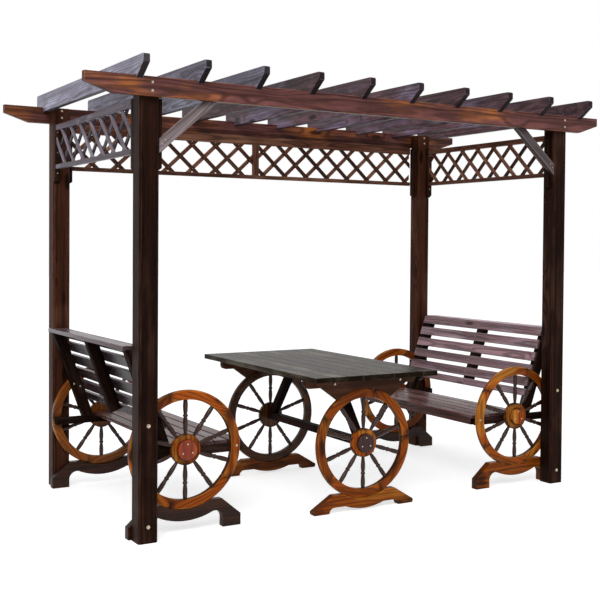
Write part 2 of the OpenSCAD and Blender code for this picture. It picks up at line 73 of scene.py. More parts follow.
def wood_finish(
    name, stain, light, scorch, streaks, patches, late_wood, gloss, varnish,
    shine=0.12, tips=0.0, painted_shade=None, ends=0.45, spread=0.30,
):
    """Stained and varnished softwood. The grain runs with each board's own coordinates: growth rings
    round a heart beside the board, knots that push them aside, brushed streaks and paler patches.
    Where tips is above 0, the torch has darkened the boards' ends. The faces that look down, or
    towards a wheel's hub, can take a darker colour of their own, a painted shade. Late wood is
    the distance between two rings, in metres, and spread is how far the boards' tones lie apart."""
    finish = bpy.data.materials.new(name)
    finish.use_nodes = True
    tree = finish.node_tree
    tree.nodes.clear()

    grain = add(tree, "ShaderNodeAttribute", attribute_name="grain").outputs["Vector"]
    board, end_grain, worn_highlit_edge, tip, painted_shade_mask = (
        add(tree, "ShaderNodeAttribute", attribute_name=mark).outputs["Fac"]
        for mark in ("board", "end_grain", "worn_highlit_edge", "tip", "painted_shade")
    )
    own = add(
        tree,
        "ShaderNodeVectorMath",
        {0: board, 1: (31.0, 7.3, 5.1), 2: grain},
        operation="MULTIPLY_ADD",
    ).outputs[0]

    # Noise that is drawn out along the grain: turns a metre along and across it, detail, roughness.
    # Real fibres are under a millimetre apart and real rings two to four, and neither would show,
    # so the fibres are drawn about 3 mm apart and the rings 5 mm and more.
    noises = {}
    for pattern, turns, detail, roughness in (
        ("wander", (1.4, 5, 5), 2, 0.5),
        ("fibre", (13, 360, 360), 4, 0.65),
        ("streak", (0.8, 24, 24), 3, 0.55),
        ("patch", (1.9, 5.5, 5.5), 3, 0.6),
        ("rubbing", (9, 30, 30), 2, 0.5),
        ("burning", (11, 26, 26), 3, 0.5),
    ):
        drawn_out = add(
            tree, "ShaderNodeVectorMath", {0: own, 1: turns}, operation="MULTIPLY"
        ).outputs[0]
        noises[pattern] = add(
            tree,
            "ShaderNodeTexNoise",
            {"Vector": drawn_out, "Scale": 1, "Detail": detail, "Roughness": roughness},
        ).outputs
    fibre = noises["fibre"]["Fac"]

    # A knot is a dark spot, and the rings bend round it well beyond its edge.
    knot_places = add(
        tree, "ShaderNodeVectorMath", {0: own, 1: (2.6, 8.5, 8.5)}, operation="MULTIPLY"
    ).outputs[0]
    knot_gap = add(tree, "ShaderNodeTexVoronoi", {"Vector": knot_places, "Scale": 1}).outputs["Distance"]
    knot, round_knot = (
        add(
            tree,
            "ShaderNodeMapRange",
            {"Value": knot_gap, "From Min": none_from, "From Max": full_from},
            interpolation_type="SMOOTHSTEP",
        ).outputs["Result"]
        for none_from, full_from in ((0.17, 0.08), (0.42, 0.05))
    )

    # The rings lie round a heart just outside the board, and wander a little along it.
    wander = add(
        tree,
        "ShaderNodeVectorMath",
        {0: noises["wander"]["Color"], 1: (0.5, 0.5, 0.5)},
        operation="SUBTRACT",
    ).outputs[0]
    from_heart = add(
        tree, "ShaderNodeVectorMath", {0: grain, 1: (0, -0.035, 0.03)}, operation="ADD"
    ).outputs[0]
    for push, reach in (
        (board, (0, 0.07, 0.05)),
        (wander, (0, 0.035, 0.035)),
        (round_knot, (0, 0.010, 0.010)),
    ):
        from_heart = add(
            tree, "ShaderNodeVectorMath", {0: push, 1: reach, 2: from_heart}, operation="MULTIPLY_ADD"
        ).outputs[0]
    ring_at_scale_one = 0.314
    rings = add(
        tree,
        "ShaderNodeTexWave",
        {"Vector": from_heart, "Scale": ring_at_scale_one / late_wood, "Distortion": 0},
        wave_type="RINGS",
        rings_direction="X",
    ).outputs["Fac"]

    # The value at which each mark begins, and the value at which it is full.
    # A burn creeps in from a board's tip with a ragged edge.
    near_tip = add(
        tree, "ShaderNodeMath", {0: noises["burning"]["Fac"], 1: 0.5, 2: tip}, operation="MULTIPLY_ADD"
    ).outputs[0]
    late, streak, patch, hair, rubbed, burn = (
        add(
            tree,
            "ShaderNodeMapRange",
            {"Value": value, "From Min": none_from, "From Max": full_from},
            interpolation_type="SMOOTHSTEP",
        ).outputs["Result"]
        for value, none_from, full_from in (
            (rings, 0.45, 1.00),
            (noises["streak"]["Fac"], 0.42, 0.66),
            (noises["patch"]["Fac"], 0.50, 0.68),
            (fibre, 0.52, 0.72),
            (noises["rubbing"]["Fac"], 0.40, 0.62),
            (near_tip, 0.99, 1.27),
        )
    )
    wear_and_highlight = add(tree, "ShaderNodeMath", {0: worn_highlit_edge, 1: rubbed}, operation="MULTIPLY").outputs[0]

    # The stain first, and then one layer over the other, each with its strength and colour.
    tone = linear(stain)
    for mark, strength, colour in (
        (patch, patches, light),
        # Painted shade: faces that look down, or towards a wheel's hub, take a darker colour of their
        # own.
        (painted_shade_mask, 0.85, painted_shade),
        (late, 0.55, scorch),
        (streak, streaks, scorch),
        (hair, 0.22, light),
        (knot, 0.85, scorch),
        (end_grain, ends, scorch),
        # Edges are lighter, partly from wear and partly as a painted highlight along the arrises.
        (wear_and_highlight, 0.45, light),
        (burn, tips, scorch),
    ):
        if colour:
            share = add(tree, "ShaderNodeMath", {0: mark, 1: strength}, operation="MULTIPLY").outputs[0]
            tone = add(
                tree, "ShaderNodeMix", {"Factor": share, 6: tone, 7: linear(colour)}, data_type="RGBA"
            ).outputs[2]
    depth = add(
        tree, "ShaderNodeMath", {0: board, 1: spread, 2: 1 - spread / 2}, operation="MULTIPLY_ADD"
    ).outputs[0]
    tone = add(tree, "ShaderNodeVectorMath", {0: tone, 1: depth}, operation="MULTIPLY").outputs[0]

    # The fibres vary the gloss by about 0.1 both ways, and end grain is duller.
    rough = add(
        tree, "ShaderNodeMath", {0: fibre, 1: 0.22, 2: gloss - 0.11}, operation="MULTIPLY_ADD"
    ).outputs[0]
    rough = add(
        tree,
        "ShaderNodeMath",
        {0: end_grain, 1: 0.2, 2: rough},
        operation="MULTIPLY_ADD",
        use_clamp=True,
    ).outputs[0]
    relief = 0.0
    for mark, height in ((late, 0.6), (fibre, 0.7), (knot, -0.5)):
        relief = add(
            tree, "ShaderNodeMath", {0: mark, 1: height, 2: relief}, operation="MULTIPLY_ADD"
        ).outputs[0]
    bump = add(tree, "ShaderNodeBump", {"Strength": 0.55, "Distance": 0.0009, "Height": relief})
    shader = add(
        tree,
        "ShaderNodeBsdfPrincipled",
        {
            "Base Color": tone,
            "Roughness": rough,
            "Normal": bump.outputs["Normal"],
            "Specular IOR Level": shine,
            "Coat Weight": varnish,
            "Coat Roughness": 0.22,
        },
    )
    add(tree, "ShaderNodeOutputMaterial", {"Surface": shader.outputs["BSDF"]})
    return finish


def boards_in(mesh):
    """The separate boards of a mesh, each as the list of its faces."""
    left, boards = {face.index for face in mesh.faces}, []
    mesh.faces.ensure_lookup_table()
    for start in range(len(mesh.faces)):
        if start not in left:
            continue
        left.discard(start)
        found, edge_of_search = [mesh.faces[start]], [mesh.faces[start]]
        while edge_of_search:
            for edge in edge_of_search.pop().edges:
                for face in edge.link_faces:
                    if face.index in left:
                        left.discard(face.index)
                        found.append(face)
                        edge_of_search.append(face)
        boards.append(found)
    return boards


def lay_grain(mesh, seed, along=None, hub=None, shade_by_lean=False):
    """Gives each board its own coordinates, with x along the grain, and its own tone.
    Faces that look down, or towards the hub of a wheel, are marked for painted shade. By lean,
    the boards that rise one way are paler than those that rise the other way, whose darker tone is
    painted shade."""
    chance = random.Random(seed)
    cut_across = 0.8 if hub or along else 0.5
    flat_board, level_board, own_share = 0.7, 0.1, 0.15
    facing_hub, facing_down = 0.7, -0.25
    grain = mesh.verts.layers.float_vector.new("grain")
    board_tone = mesh.verts.layers.float.new("board")
    tip = mesh.verts.layers.float.new("tip")
    end_grain = mesh.faces.layers.float.new("end_grain")
    painted_shade = mesh.faces.layers.float.new("painted_shade")
    mesh.faces.index_update()
    for faces in boards_in(mesh):
        points = sorted({v.index: v for face in faces for v in face.verts}.items())
        places = np.array([v.co for _, v in points])
        middle = (places.min(0) + places.max(0)) / 2
        spread, axes = np.linalg.eigh(np.cov((places - middle).T))
        length = np.array(along, float) if along else axes[:, 2]
        length = length * (1 if length[np.argmax(abs(length))] > 0 else -1)
        thin = axes[:, 0] if spread[0] < flat_board * spread[1] else np.roll(length, 1)
        thin = thin - length * (thin @ length)
        thin /= np.linalg.norm(thin)
        turn = np.array([length, np.cross(thin, length), thin])
        tone, local = chance.random(), (places - middle) @ turn.T
        half = abs(local[:, 0]).max()
        # The laths that rise one way are darker: painted shade for the laths that lie behind the others.
        if shade_by_lean:
            rise = length[2] * (length[0] + length[1])
            lean_shade = 0.40 if abs(rise) < level_board else 0.80 if rise > 0 else 0.0
            tone = own_share * tone + lean_shade
        flip = chance.choice((-1, 1))
        for (_, vert), place in zip(points, local):
            vert[grain] = place * (1, flip, flip)
            vert[board_tone] = tone
            vert[tip] = abs(place[0]) / half
        for face in faces:
            face[end_grain] = 1.0 if abs(face.normal @ Vector(length)) > cut_across else 0.0
            if hub:
                in_painted_shade = face.normal @ (hub - face.calc_center_median()).normalized() > facing_hub
            else:
                in_painted_shade = face.normal.z < facing_down
            face[painted_shade] = 1.0 if in_painted_shade else 0.0


def solid_of(node):
    """A copy of a CAD node with its corners joined and its flat faces whole."""
    mesh = bmesh.new()
    mesh.from_mesh(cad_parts[node].data)
    bmesh.ops.remove_doubles(mesh, verts=mesh.verts, dist=0.00002)
    bmesh.ops.dissolve_limit(
        mesh, angle_limit=math.radians(0.4), verts=mesh.verts, edges=mesh.edges
    )
    return mesh


def ease_edges(mesh, width):
    """Rounds off the sharp edges a little, as sanding does, and marks them to be painted lighter,
    partly as wear and partly as a painted highlight. Narrow faces that bend into one another are
    part of a curve, so they are shaded as one."""
    worn_highlit_edge = mesh.faces.layers.float.new("worn_highlit_edge")
    least_bend, sharp_bend, narrow_area = 0.01, math.radians(28), 0.02
    sharp = [e for e in mesh.edges if e.is_manifold and e.calc_face_angle() > sharp_bend]
    eased = bmesh.ops.bevel(
        mesh,
        geom=sharp,
        offset=width,
        offset_type="OFFSET",
        segments=2,
        profile=0.6,
        affect="EDGES",
        clamp_overlap=True,
    )
    for face in eased["faces"]:
        face[worn_highlit_edge] = 1.0
    for face in mesh.faces:
        bends = [e.calc_face_angle() for e in face.edges if e.is_manifold]
        curved = any(least_bend <= bend < sharp_bend for bend in bends)
        face.smooth = face[worn_highlit_edge] > 0 or curved and face.calc_area() < narrow_area


def piece_from(mesh, name, finish):
    """Turns finished mesh work into a piece of the pavilion with its finish."""
    data = bpy.data.meshes.new(name)
    mesh.to_mesh(data)
    mesh.free()
    piece = bpy.data.objects.new(name, data)
    bpy.context.scene.collection.objects.link(piece)
    data.materials.append(finish)
    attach(piece, "root")
    return piece


def timber(node, finish, ease=0.0025, hub=None, shade_by_lean=False):
    """The boards of one CAD node, with eased edges and grain, in that node's place."""
    mesh = solid_of(node)
    ease_edges(mesh, ease)
    lay_grain(mesh, node, hub=hub, shade_by_lean=shade_by_lean)
    piece = piece_from(mesh, node + "_timber", finish)
    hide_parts(node)
    return piece


# Nearly black and dull, with the brushed grain as faint brown lines.
post_finish = wood_finish(
    "scorched pine, black brown varnish",
    "#2a160e", "#5a3c30", "#090403",
    streaks=0.75, patches=0.5, late_wood=0.008, gloss=0.44, varnish=0.0, shine=0.03, spread=0.4,
)
# The same work over a redder stain, which turns warm where light falls on it.
red_post_finish = wood_finish(
    "scorched pine, red brown varnish",
    "#4c2a1c", "#7e5440", "#150a07",
    streaks=0.7, patches=0.5, late_wood=0.008, gloss=0.44, varnish=0.0, shine=0.03,
)
for end in ("front", "back"):
    for side in ("left", "right"):
        finish = red_post_finish if end == "back" else post_finish
        timber(f"post_{end}_{side}", finish, ease=0.0015)

# ---- Beams ----
# Two long boards with slanted ends, bolted to the posts' outer faces. The front one is flush with
# the post tops and the back one stands 12 mm higher. Their stain is thinner than the posts'.

# Chestnut with the torch's dark streaks and tips, and the orange of the pine between them.
beam_finish = wood_finish(
    "varnished pine, chestnut",
    "#7c4c4a", "#d07c40", "#200e0b",
    streaks=0.72, patches=0.85, late_wood=0.009, gloss=0.38, varnish=0.05,
    shine=0.12, tips=0.4, painted_shade="#3a1c14",
)
for end in ("front", "back"):
    timber(f"beam_{end}", beam_finish, ease=0.003)

# ---- Bolts ----
# Zinc-plated hexagon bolts on round washers. Two go right through each beam and post, and others
# hold the wheels, their feet, the bench uprights and the table aprons.


def turned(outline, sides):
    """A closed shape turned round the z axis, from its outline of (radius, height) pairs."""
    mesh = bmesh.new()
    rings = []
    for radius, height in outline:
        turns = [2 * math.pi * k / sides for k in range(sides if radius > 0 else 1)]
        rings.append(
            [mesh.verts.new((radius * math.cos(a), radius * math.sin(a), height)) for a in turns]
        )
    for low, high in zip(rings, rings[1:]):
        for k in range(sides):
            after = (k + 1) % sides
            if len(low) == 1:
                mesh.faces.new((low[0], high[after], high[k]))
            elif len(high) == 1:
                mesh.faces.new((low[k], low[after], high[0]))
            else:
                mesh.faces.new((low[k], low[after], high[after], high[k]))
    bmesh.ops.recalc_face_normals(mesh, faces=mesh.faces)
    return mesh


def pattern_object(mesh, name):
    """An object that is only a pattern for the trees to copy."""
    data = bpy.data.meshes.new(name)
    mesh.to_mesh(data)
    mesh.free()
    return bpy.data.objects.new(name, data)


def new_tree(name, **sockets):
    """An empty tree with a geometry input and output and the named inputs."""
    tree = bpy.data.node_groups.new(name, "GeometryNodeTree")
    tree.interface.new_socket("Geometry", in_out="INPUT", socket_type="NodeSocketGeometry")
    tree.interface.new_socket("Geometry", in_out="OUTPUT", socket_type="NodeSocketGeometry")
    for socket, kind in sockets.items():
        tree.interface.new_socket(socket, in_out="INPUT", socket_type="NodeSocket" + kind)
    return tree


def close_tree(tree, instances, given):
    """Ends a tree: the copies become real, and take the finish."""
    real = add(tree, "GeometryNodeRealizeInstances", {"Geometry": instances})
    coated = add(
        tree,
        "GeometryNodeSetMaterial",
        {"Geometry": real.outputs["Geometry"], "Material": given["Finish"]},
    )
    add(tree, "NodeGroupOutput", {"Geometry": coated.outputs["Geometry"]})


def grow(tree, name, start, slot, **sockets):
    """Runs a tree on a starting mesh and keeps the result as a plain piece."""
    seedling = bpy.data.objects.new(name, start)
    bpy.context.scene.collection.objects.link(seedling)
    modifier = seedling.modifiers.new(name, "NODES")
    modifier.node_group = tree
    for item in tree.interface.items_tree:
        if item.in_out == "INPUT" and item.name in sockets:
            modifier[item.identifier] = sockets[item.name]
    bpy.context.view_layer.update()
    grown = bpy.data.meshes.new_from_object(
        seedling.evaluated_get(bpy.context.evaluated_depsgraph_get())
    )
    seedling.modifiers.clear()
    seedling.data = grown
    grown.name = name
    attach(seedling, "root")
    return seedling


fixings_tree = new_tree("fixings", Head="Object", Seed="Int", Finish="Material")
given = add(fixings_tree, "NodeGroupInput").outputs
facing = add(
    fixings_tree, "GeometryNodeInputNamedAttribute", {"Name": "facing"}, data_type="FLOAT_VECTOR"
).outputs["Attribute"]
upright_head = add(
    fixings_tree, "FunctionNodeAlignRotationToVector", {"Vector": facing}, axis="Z"
).outputs["Rotation"]
spin = add(
    fixings_tree,
    "FunctionNodeRandomValue",
    {3: 2 * math.pi, "Seed": given["Seed"]},
    data_type="FLOAT",
).outputs[1]
twist = add(
    fixings_tree, "FunctionNodeAxisAngleToRotation", {"Axis": (0, 0, 1), "Angle": spin}
).outputs["Rotation"]
turned_head = add(
    fixings_tree,
    "FunctionNodeRotateRotation",
    {"Rotation": upright_head, "Rotate By": twist},
    rotation_space="LOCAL",
).outputs["Rotation"]
head_shape = add(
    fixings_tree, "GeometryNodeObjectInfo", {"Object": given["Head"]}, transform_space="ORIGINAL"
).outputs["Geometry"]
heads = add(
    fixings_tree,
    "GeometryNodeInstanceOnPoints",
    {"Points": given["Geometry"], "Instance": head_shape, "Rotation": turned_head},
).outputs["Instances"]
close_tree(fixings_tree, heads, given)


def fix(name, head, finish, places, seed):
    """Sets one kind of fixing at each (point, direction) pair."""
    start = bpy.data.meshes.new(name)
    start.from_pydata([point for point, _ in places], [], [])
    facings = start.attributes.new("facing", "FLOAT_VECTOR", "POINT")
    for k, (_, direction) in enumerate(places):
        facings.data[k].vector = direction
    grow(fixings_tree, name, start, None, Head=head, Seed=seed, Finish=finish)


def steel_finish(name, colour, roughness):
    """Plated steel that the weather has dulled in spots, about one every 4 mm."""
    finish = bpy.data.materials.new(name)
    finish.use_nodes = True
    tree = finish.node_tree
    tree.nodes.clear()
    spots_in_a_metre, dulling = 260, 0.6
    bright = linear(colour)
    dull = [part * dulling for part in bright[:3]] + [1]
    place = add(tree, "ShaderNodeTexCoord").outputs["Object"]
    spots = add(
        tree, "ShaderNodeTexNoise", {"Vector": place, "Scale": spots_in_a_metre, "Detail": 3}
    ).outputs["Fac"]
    tone = add(
        tree, "ShaderNodeMix", {"Factor": spots, 6: bright, 7: dull}, data_type="RGBA"
    ).outputs[2]
    rough = add(
        tree, "ShaderNodeMapRange", {"Value": spots, "To Min": roughness, "To Max": roughness + 0.2}
    ).outputs["Result"]
    dents = add(tree, "ShaderNodeBump", {"Strength": 0.2, "Distance": 0.0003, "Height": spots})
    shader = add(
        tree,
        "ShaderNodeBsdfPrincipled",
        {
            "Base Color": tone,
            "Metallic": 1.0,
            "Roughness": rough,
            "Normal": dents.outputs["Normal"],
        },
    )
    add(tree, "ShaderNodeOutputMaterial", {"Surface": shader.outputs["BSDF"]})
    return finish


# Pale metal that catches the light, so the heads stand out from the dark wood.
zinc = steel_finish("zinc plated steel", "#cfc4ae", 0.32)


def bolt(name, radius):
    """A washer of this radius with the bolt's hexagon on it. Both outlines are shares of it."""
    washer_outline = [(0, 0), (1, 0), (1, 0.13), (0.94, 0.18), (0.68, 0.18), (0, 0.18)]
    hexagon_outline = [(0, 0.1), (0.73, 0.1), (0.73, 0.58), (0.65, 0.68), (0, 0.68)]
    head = turned([(radius * r, radius * h) for r, h in washer_outline], 24)
    hexagon = turned([(radius * r, radius * h) for r, h in hexagon_outline], 6)
    joined = bpy.data.meshes.new(name)
    hexagon.to_mesh(joined)
    hexagon.free()
    head.from_mesh(joined)
    return pattern_object(head, name)


bolt_head = bolt("bolt head", 0.0095)
small_bolt = bolt("small bolt head", 0.0065)

post_box = {
    (end, side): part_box(f"post_{end}_{side}") for end in ("front", "back") for side in ("left", "right")
}
front_beam, back_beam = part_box("beam_front"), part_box("beam_back")
drops_from_beam_top = (0.028, 0.068)
foot_bolt_height, rim_bolt_height = 0.080, 0.570
beam_bolts, post_bolts = [], []
for (end, side), (low, high) in post_box.items():
    middle = (low.x + high.x) / 2
    if end == "front":
        outward, outer_face, inner_face = -1, low.y, high.y
        beam_face, beam_top = front_beam[0].y, front_beam[1].z
    else:
        outward, outer_face, inner_face = 1, high.y, low.y
        beam_face, beam_top = back_beam[1].y, back_beam[1].z
    for drop in drops_from_beam_top:
        beam_bolts.append(((middle, beam_face, beam_top - drop), (0, outward, 0)))
        beam_bolts.append(((middle, inner_face, beam_top - drop), (0, -outward, 0)))
    for height in (foot_bolt_height, rim_bolt_height):
        post_bolts.append(((middle, outer_face, height), (0, outward, 0)))
fix("beam_bolts", small_bolt, zinc, beam_bolts, seed=2)
fix("post_bolts", bolt_head, zinc, post_bolts, seed=3)

# ---- Rafters ----
# Ten boards on edge, notched over both beams and screwed down from above. Their faces carry a painted
# grey-blue sheen of the sky, strongest on the first three, and the sawn noses are darker.

# Grey brown at the sides, a painted sheen of the sky over brown, and nearly black below with
# painted shade, so each board looks thick.
rafter_finish = wood_finish(
    "pine, grey brown varnish with painted sky sheen",
    "#78585f", "#a698bc", "#1a0e0c",
    streaks=0.6, patches=0.55, late_wood=0.007, gloss=0.40, varnish=0.05,
    shine=0.12, tips=0.6, painted_shade="#1c100e", ends=0.9, spread=0.4,
)
# Slate, a painted sheen of the sky, for the second and third rafter.
slate_sheen_finish = wood_finish(
    "pine, painted slate sky sheen",
    "#8a849a", "#bcc0d6", "#1e1416",
    streaks=0.55, patches=0.6, late_wood=0.007, gloss=0.40, varnish=0.05,
    shine=0.10, tips=0.4, painted_shade="#1c1212", ends=0.9, spread=0.35,
)
# Pale slate, the brightest painted sheen of the sky, for the first rafter, which is the palest of the
# ten.
pale_sheen_finish = wood_finish(
    "pine, painted pale slate sky sheen",
    "#a49eb6", "#ccd0e6", "#2a2022",
    streaks=0.5, patches=0.6, late_wood=0.007, gloss=0.40, varnish=0.05,
    shine=0.10, tips=0.4, painted_shade="#221616", ends=0.9, spread=0.2,
)
screw_head = pattern_object(
    turned([(0, 0), (0.0042, 0), (0.0040, 0.0005), (0.0024, 0.0008), (0.0016, 0.0002), (0, 0.0002)], 12),
    "screw head",
)
# A warmer metal than the bolts', small enough to be a glint.
screw_steel = steel_finish("yellow zinc screw steel", "#b8a888", 0.35)


def board_faces(node, direction):
    """The middle and direction of the broadest face that each board of a node turns this way."""
    mesh, found, nearly_this_way = solid_of(node), [], 0.85
    for faces in boards_in(mesh):
        turned_so = [face for face in faces if face.normal @ Vector(direction) > nearly_this_way]
        broad = max(turned_so, key=lambda face: face.calc_area())
        found.append((broad.calc_center_median(), broad.normal.copy()))
    mesh.free()
    return found


rafter_finishes = {1: pale_sheen_finish, 2: slate_sheen_finish, 3: slate_sheen_finish}
rafter_screws, screw_sunk = [], 0.001
for number in range(1, 11):
    finish = rafter_finishes.get(number, rafter_finish)
    timber(f"rafter_{number}", finish, ease=0.0025)
    low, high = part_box(f"rafter_{number}")
    for beam_low, beam_high in (front_beam, back_beam):
        over_beam = ((low.x + high.x) / 2, (beam_low.y + beam_high.y) / 2, high.z - screw_sunk)
        rafter_screws.append((over_beam, (0, 0, 1)))
fix("rafter_screws", screw_head, screw_steel, rafter_screws, seed=5)

# ---- Knee braces ----
# Two slanting boards between the front posts and the back of the front beam, with two screws at
# each foot. The left one is paler.

# Pinkish grey, with painted shade on the dark underside.
pale_brace_finish = wood_finish(
    "thin stained pine, pale pinkish brown",
    "#85797b", "#b4a6ac", "#3a2722",
    streaks=0.55, patches=0.5, late_wood=0.006, gloss=0.42, varnish=0.05, painted_shade="#442e26",
)
# The right one is a few shades darker.
brace_finish = wood_finish(
    "thin stained pine, pinkish brown",
    "#685c5e", "#96898f", "#30201b",
    streaks=0.55, patches=0.5, late_wood=0.006, gloss=0.42, varnish=0.05, painted_shade="#3a261e",
)
timber("brace_left", pale_brace_finish, ease=0.002)
timber("brace_right", brace_finish, ease=0.002)
brace_screws, screws_along_and_up = [], ((0.014, 0.045), (0.030, 0.066))
for side, inward in (("left", 1), ("right", -1)):
    low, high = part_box(f"brace_{side}")
    foot_x = low.x if side == "left" else high.x
    for along, rise in screws_along_and_up:
        brace_screws.append(((foot_x + inward * along, low.y, low.z + rise), (0, -1, 0)))
fix("brace_screws", screw_head, screw_steel, brace_screws, seed=11)

# ---- Lattice ----
# Crossed laths between two rails, one panel on each side and one in two bays at the back. The
# laths are nailed where they cross, and the panels are held by cleats that are screwed to the posts.

# Dark brown, and much paler on the laths that rise one way, so the crossing is easy to see. The
# darker tone is painted shade for the laths that lie behind.
lattice_finish = wood_finish(
    "stained pine laths, dark brown",
    "#6e4434", "#a67a60", "#1a0d08",
    streaks=0.5, patches=0.5, late_wood=0.005, gloss=0.42, varnish=0.04,
    shine=0.08, spread=1.2,
)
# The left panel is greyer, a painted sheen of the sky.
sheen_lattice_finish = wood_finish(
    "stained pine laths, brown with painted slate sheen",
    "#5a4f58", "#8e8898", "#1e1412",
    streaks=0.5, patches=0.6, late_wood=0.005, gloss=0.42, varnish=0.04, shine=0.1, spread=1.4,
)
timber("lattice_left", sheen_lattice_finish, ease=0.0015, shade_by_lean=True)
timber("lattice_right", lattice_finish, ease=0.0015, shade_by_lean=True)
# The back panel's top rail reaches a little past the beam's lower edge, so no gap shows there.
back_panel = solid_of("lattice_back")
rail_top = max(vert.co.z for vert in back_panel.verts)
past_beam, same_height = 0.002, 0.0005
for vert in back_panel.verts:
    if vert.co.z > rail_top - same_height:
        vert.co.z = back_beam[0].z + past_beam
ease_edges(back_panel, 0.0015)
lay_grain(back_panel, "lattice_back", shade_by_lean=True)
back_lattice = piece_from(back_panel, "lattice_back_timber", lattice_finish)
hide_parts("lattice_back")
timber("lattice_cleats", post_finish, ease=0.0015)
nail_head = pattern_object(turned([(0, 0), (0.0022, 0), (0.0019, 0.0006), (0, 0.0008)], 8), "nail head")
lath_pitch, diamond, lath_face = 0.165, 0.152, 0.0093
top_rail, bottom_rail, laths_reach = 0.033, 0.025, 0.09
panel_low, panel_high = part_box("lattice_left")
lath_middle = panel_high.z - top_rail - (panel_high.z - panel_low.z - top_rail - bottom_rail) / 2


def crossings(start, end, first, off):
    """Where laths cross in a panel: three rows, with the outer two half a pitch along."""
    found, pitches_each_way = [], 12
    for row in (-1, 0, 1):
        from_middle = first + (lath_pitch / 2 if row else 0)
        for k in range(-pitches_each_way, pitches_each_way + 1):
            place = from_middle + k * lath_pitch
            height = lath_middle + off + row * diamond / 2
            if start < place < end and abs(height - lath_middle) < laths_reach:
                found.append((place, height))
    return found


nails = []
crossing_off = 0.022
for side, outward, first, off in (("left", -1, lath_pitch / 2, 0), ("right", 1, 0, crossing_off)):
    low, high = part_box("lattice_" + side)
    middle = (low.x + high.x) / 2
    for y, z in crossings(-high.y, high.y, first, off):
        nails.append(((middle + outward * lath_face, y, z), (outward, 0, 0)))
        nails.append(((middle - outward * lath_face, y, z), (-outward, 0, 0)))
divider_half, left_lead, right_lead = 0.02, 0.043, 0.138
back_low, back_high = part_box("lattice_back")
back_face = (back_low.y + back_high.y) / 2 - lath_face
left_bay = crossings(back_low.x, -divider_half, -left_lead, 0)
right_bay = crossings(divider_half, back_high.x, right_lead, -crossing_off)
for x, z in left_bay + right_bay:
    nails.append(((x, back_face, z), (0, -1, 0)))
fix("lath_nails", nail_head, screw_steel, nails, seed=12)
cleat_screws = []
cleat_thick, cleat_middle, cleat_drops = 0.025, 0.017, (0.05, 0.17, 0.29)
cleat_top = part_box("lattice_cleats")[1].z
for side, inward in (("left", 1), ("right", -1)):
    for end, forward in (("front", 1), ("back", -1)):
        post_low, post_high = post_box[end, side]
        cleat_face = (post_high.y if end == "front" else post_low.y) + forward * cleat_thick
        cleat_x = (post_low.x if side == "left" else post_high.x) + inward * cleat_middle
        for drop in cleat_drops:
            cleat_screws.append(((cleat_x, cleat_face, cleat_top - drop), (0, forward, 0)))
fix("cleat_screws", screw_head, screw_steel, cleat_screws, seed=13)

# ---- Wagon wheels ----
# Six equal wheels: a rim of five felloes, ten turned spokes, a hub disc and a boss that is screwed
# to its outer side. The rims are amber under varnish, dark where the felloes meet.

# Amber that glows against the dark posts, with burnt ends that part the felloes.
rim_finish = wood_finish(
    "varnished softwood, amber",
    "#96450c", "#d08a34", "#281004",
    streaks=0.45, patches=0.7, late_wood=0.012, gloss=0.28, varnish=0.06,
    shine=0.05, tips=0.9, painted_shade="#33180a", spread=0.6,
)
# Dark and glossy, so that a highlight follows each turning.
spoke_finish = wood_finish(
    "turned softwood, brown varnish",
    "#3c1c0b", "#966a4c", "#120704",
    streaks=0.5, patches=0.55, late_wood=0.005, gloss=0.22, varnish=0.30, tips=0.6,
    spread=0.6,
)
# The table's back rim is nearly brown, and the left bench's back rim lies between it and the rest.
# Both darker tones are painted shade, as these two rims stand in shade.
shaded_rims = {
    "table_back": wood_finish(
        "scorched softwood, amber in deep painted shade",
        "#4e280e", "#80501f", "#140904",
        streaks=0.6, patches=0.5, late_wood=0.009, gloss=0.28, varnish=0.10,
        tips=0.9, painted_shade="#1c0d06", spread=0.5,
    ),
    "bench_left_back": wood_finish(
        "scorched softwood, amber in painted shade",
        "#86460f", "#b87a34", "#241006",
        streaks=0.6, patches=0.6, late_wood=0.009, gloss=0.28, varnish=0.10,
        tips=0.9, painted_shade="#28120a", spread=0.6,
    ),
}
# Two bosses are redder than their wheels and have hardly any streaks.
boss_finishes = {
    "bench_left_front": wood_finish(
        "turned boss, red brown varnish",
        "#8e300c", "#c8641c", "#4a1808",
        streaks=0.15, patches=0.9, late_wood=0.020, gloss=0.24, varnish=0.3,
    ),
    "table_front": wood_finish(
        "turned boss, dark red brown varnish",
        "#3e1e1a", "#6e443c", "#180b0b",
        streaks=0.15, patches=0.9, late_wood=0.020, gloss=0.26, varnish=0.25,
    ),
}
wheel_radius, rim_width, wheel_half = 0.3, 0.049, 0.015
hub_radius, boss_radius, boss_height = 0.079, 0.052, 0.020
spoke_thick, spoke_thin, spoke_count = 0.0125, 0.008, 10

ring_tree = new_tree(
    "ring", Spoke="Object", Spokes="Int", Hub="Vector", Seed="Int", Finish="Material"
)
given = add(ring_tree, "NodeGroupInput").outputs
places = add(ring_tree, "GeometryNodePoints", {"Count": given["Spokes"]}).outputs["Points"]
index = add(ring_tree, "GeometryNodeInputIndex").outputs["Index"]
step = add(
    ring_tree, "ShaderNodeMath", {0: 2 * math.pi, 1: given["Spokes"]}, operation="DIVIDE"
).outputs[0]
angle = add(ring_tree, "ShaderNodeMath", {0: index, 1: step}, operation="MULTIPLY").outputs[0]
turn = add(
    ring_tree, "FunctionNodeAxisAngleToRotation", {"Axis": (0, 1, 0), "Angle": angle}
).outputs["Rotation"]
shape = add(
    ring_tree, "GeometryNodeObjectInfo", {"Object": given["Spoke"]}, transform_space="ORIGINAL"
).outputs["Geometry"]
copies = add(
    ring_tree,
    "GeometryNodeInstanceOnPoints",
    {"Points": places, "Instance": shape, "Rotation": turn},
).outputs["Instances"]
